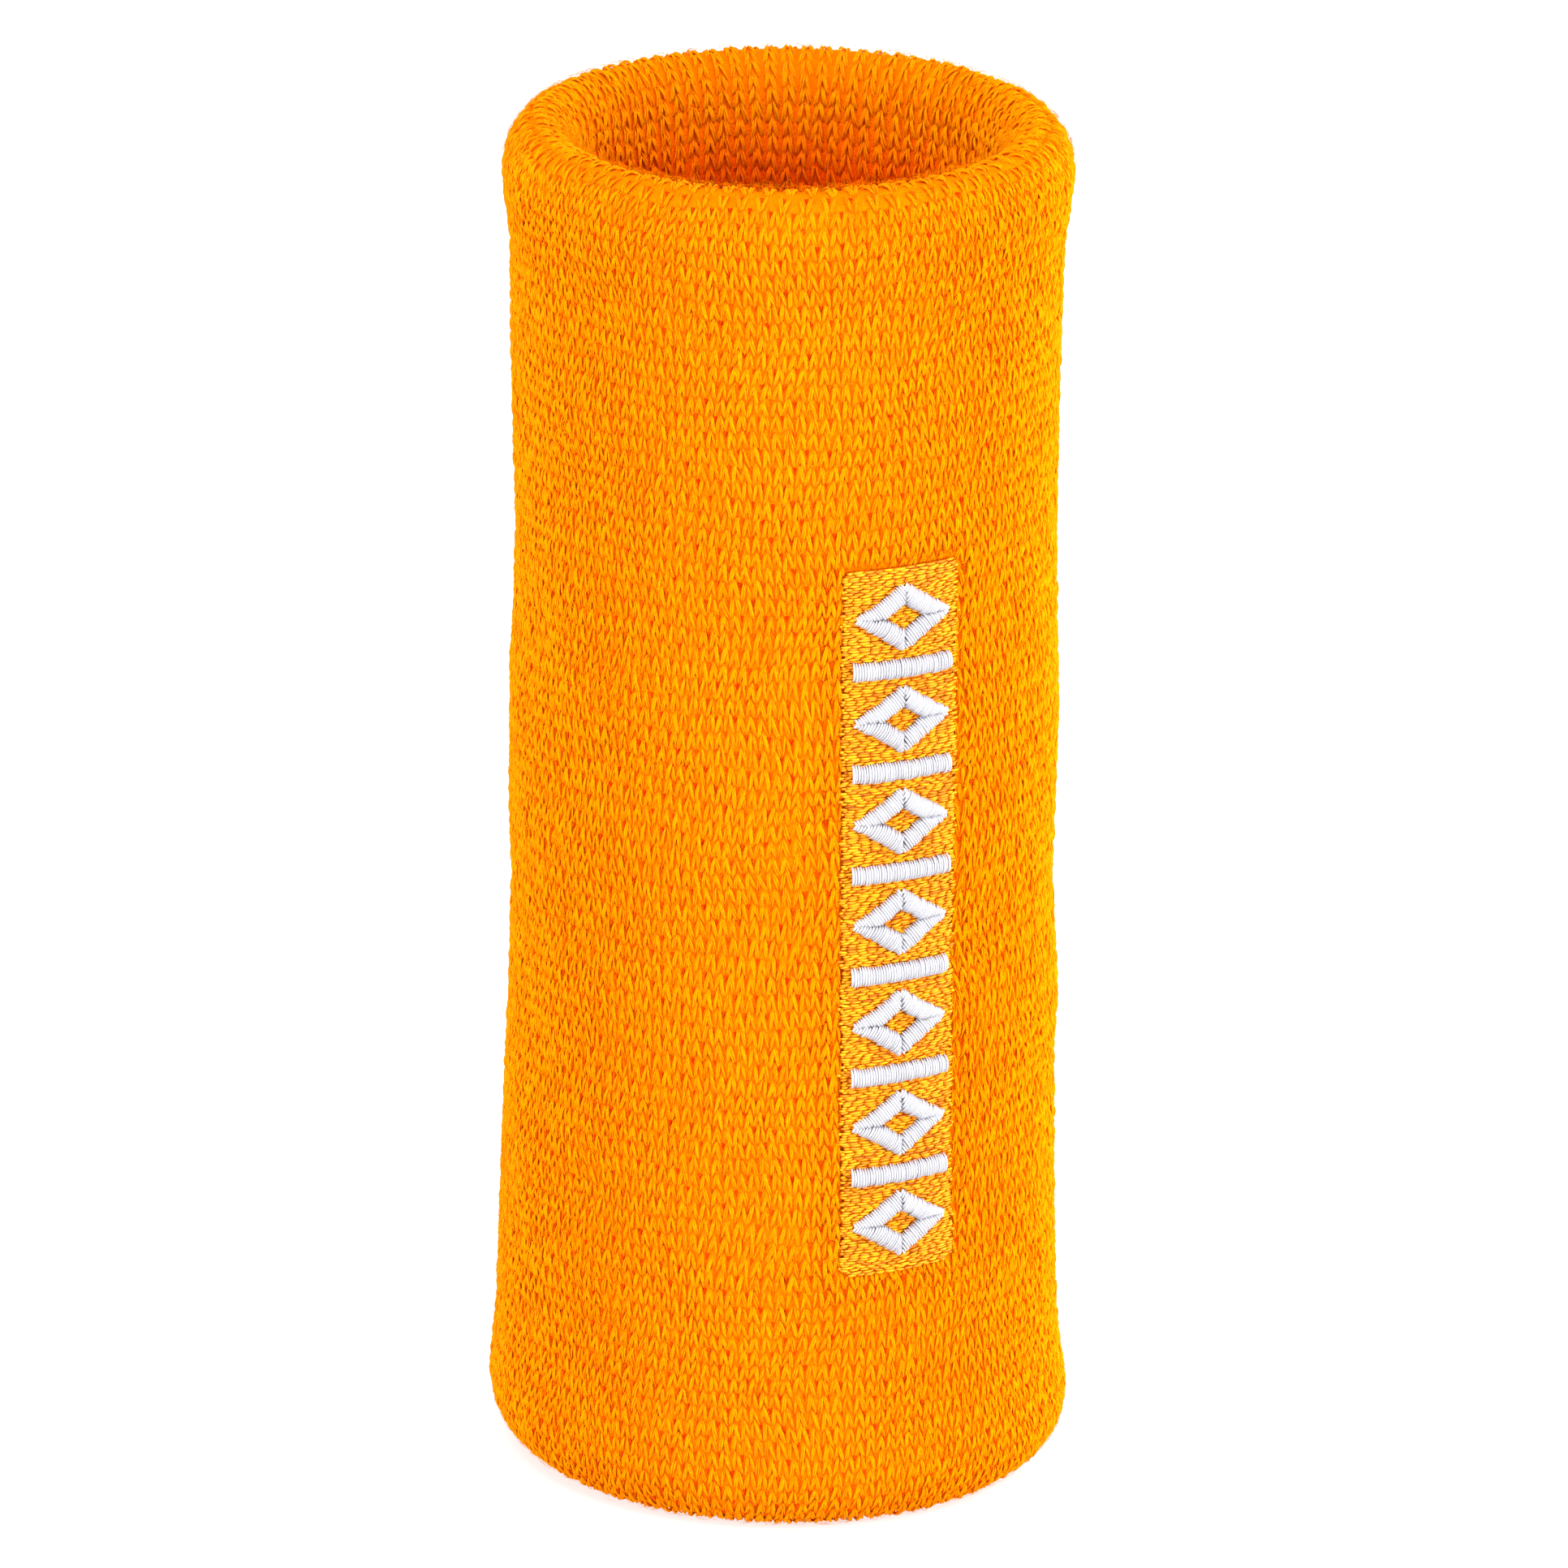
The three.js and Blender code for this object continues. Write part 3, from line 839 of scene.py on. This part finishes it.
# ---------------------------------------------------------------- the seam inside
def seam():
    """A linked chain round the inside, over the cord that the tube's two ends are gathered on."""
    own = np.random.default_rng(700)
    count = 96
    angle = TURN * np.arange(count) / count
    t = LEG_T
    bundle = Bundle(((0, -2), (TURN, 2)))
    r = path_r[0]

    def seam_place(a, s, h):
        radius = r - h + SWELL * swell(a, HEIGHT / 2)
        return np.stack([radius * np.sin(a), -radius * np.cos(a), HEIGHT / 2 + s], -1)

    for side in (-1, 1):
        long = 2.0
        bow = np.sin(math.pi * t)
        a = angle[:, None] + (t * long - 0.2) / r
        s = side * (0.12 + 0.42 * bow**0.8) + own.normal(0, 0.04, count)[:, None]
        h = -0.55 + 0.35 * bow + 0 * a
        # The tone follows the loop's bow: painted shade at its ends, full colour at its middle.
        bundle.add(a, s + 0 * a, h, 0.27 * bow**0.5 + 0 * a, bow + 0 * a, where=seam_place)
    cord_a = np.linspace(0, TURN, 129)
    pieces_a = np.stack([cord_a[:-1] - 0.02, cord_a[:-1], cord_a[1:], cord_a[1:] + 0.02], 1)
    k = np.ones_like(pieces_a)
    for aside in (-0.5, 0.5):
        # The cord at a low tone: painted shade under the chain.
        bundle.add(pieces_a, aside * k, -0.75 * k, 0.42 * k, 0.2 * k, where=seam_place)
    bundle.piece("seam_chain", outer_yarn, "linking_thread", "closing_seam")


ground()
knit_outer()
knit_inner()
fuzz()
fill()
slab()
for n in range(7):
    diamond(f"satin_diamond_{n + 1}", n)
for n in range(6):
    bar(f"satin_bar_{n + 1}", n)
seam()


# ---------------------------------------------------------------- what stays hidden in the wall
def plain_cad(node, deep, bright, scale, roughness):
    """A CAD node inside the wall gets its own stuff's look."""
    material, tree, shader = node_material(node + "_look", roughness, 0.2)
    colour = ramp(tree, noise(tree, scale, 3), (0.35, deep), (0.65, bright))
    tree.links.new(colour, shader.inputs["Base Color"])
    bump(tree, shader, noise(tree, scale, 3), 0.6, 0.0003)
    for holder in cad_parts[node].material_slots:
        holder.material = material


plain_cad("terry_pile", (0.85, 0.14, 0.001), ORANGE, 900, 0.95)
plain_cad("elastic_yarn", (0.75, 0.7, 0.6), (0.9, 0.86, 0.78), 2500, 0.7)
plain_cad("embroidery_backing", (0.7, 0.7, 0.68), (0.88, 0.88, 0.86), 1500, 0.95)
plain_cad("bobbin_thread", (0.75, 0.75, 0.75), (0.92, 0.92, 0.92), 3000, 0.7)

# ---------------------------------------------------------------- studio
scene = bpy.context.scene
scene.view_settings.view_transform = "Standard"
scene.view_settings.look = "None"


def studio():
    bpy.ops.mesh.primitive_plane_add(size=24, location=(0, 0, 0))
    floor = bpy.context.object
    floor.name = "floor"
    material, tree, shader = node_material("floor_paint", 0.9)
    shader.inputs["Base Color"].default_value = (0.4, 0.4, 0.4, 1)
    shader.inputs["Specular IOR Level"].default_value = 0.0
    shader.inputs["Emission Color"].default_value = (1, 1, 1, 1)
    shader.inputs["Emission Strength"].default_value = 0.7
    floor.data.materials.append(material)
    world = bpy.data.worlds.new("studio")
    world.use_nodes = True
    tree = world.node_tree
    where = tree.nodes.new("ShaderNodeTexCoord")
    height = tree.nodes.new("ShaderNodeSeparateXYZ")
    tree.links.new(where.outputs["Generated"], height.inputs["Vector"])
    sky = ramp(tree, height.outputs["Z"], (0.2, (1.0, 1.0, 1.0)), (0.5, (0.42, 0.42, 0.42)))
    tree.links.new(sky, tree.nodes["Background"].inputs["Color"])
    scene.world = world


def area_light(name, from_camera, elevation, distance, size, power):
    """A soft light aimed at the band, so many degrees round it from the camera."""
    light = bpy.data.lights.new(name, "AREA")
    light.shape = "SQUARE"
    light.size = size
    light.energy = power
    made = bpy.data.objects.new(name, light)
    a, e = math.radians(CAMERA_AZIMUTH + from_camera), math.radians(elevation)
    middle = Vector((0, 0, HEIGHT / 2 * MM))
    way = Vector((math.sin(a) * math.cos(e), -math.cos(a) * math.cos(e), math.sin(e)))
    made.location = middle + way * distance
    made.rotation_euler = (-way).to_track_quat("-Z", "Y").to_euler()
    scene.collection.objects.link(made)


CAMERA_ELEVATION = 20.4
CAMERA_DISTANCE = 1.1
CAMERA_ROLL = 0.56
CAMERA_LENS = 234.3


def camera():
    data = bpy.data.cameras.new("camera")
    data.lens = CAMERA_LENS
    data.sensor_width = 36
    data.clip_start = 0.01
    made = bpy.data.objects.new("camera", data)
    a, e = math.radians(CAMERA_AZIMUTH), math.radians(CAMERA_ELEVATION)
    back = Vector((math.sin(a) * math.cos(e), -math.cos(a) * math.cos(e), math.sin(e)))
    right = Vector((math.cos(a), math.sin(a), 0))
    up = back.cross(right)
    aim = Vector((0, 0, HEIGHT / 2 * MM)) + right * 0.00017 - up * 0.0001
    roll = math.radians(CAMERA_ROLL)
    rolled_up = up * math.cos(roll) - right * math.sin(roll)
    rolled_right = rolled_up.cross(back)
    turn = Matrix((rolled_right, rolled_up, back)).transposed().to_4x4()
    made.matrix_world = Matrix.Translation(aim + back * CAMERA_DISTANCE) @ turn
    scene.collection.objects.link(made)
    scene.camera = made


studio()
area_light("key", 62, 6, 0.9, 0.6, 10.5)
area_light("left", -55, 14, 0.9, 0.6, 5.2)
area_light("back_right", 128, 12, 0.8, 0.4, 7.0)
area_light("above", 0, 64, 0.9, 0.6, 8.5)
area_light("back", 200, 8, 0.9, 0.6, 5.5)
camera()
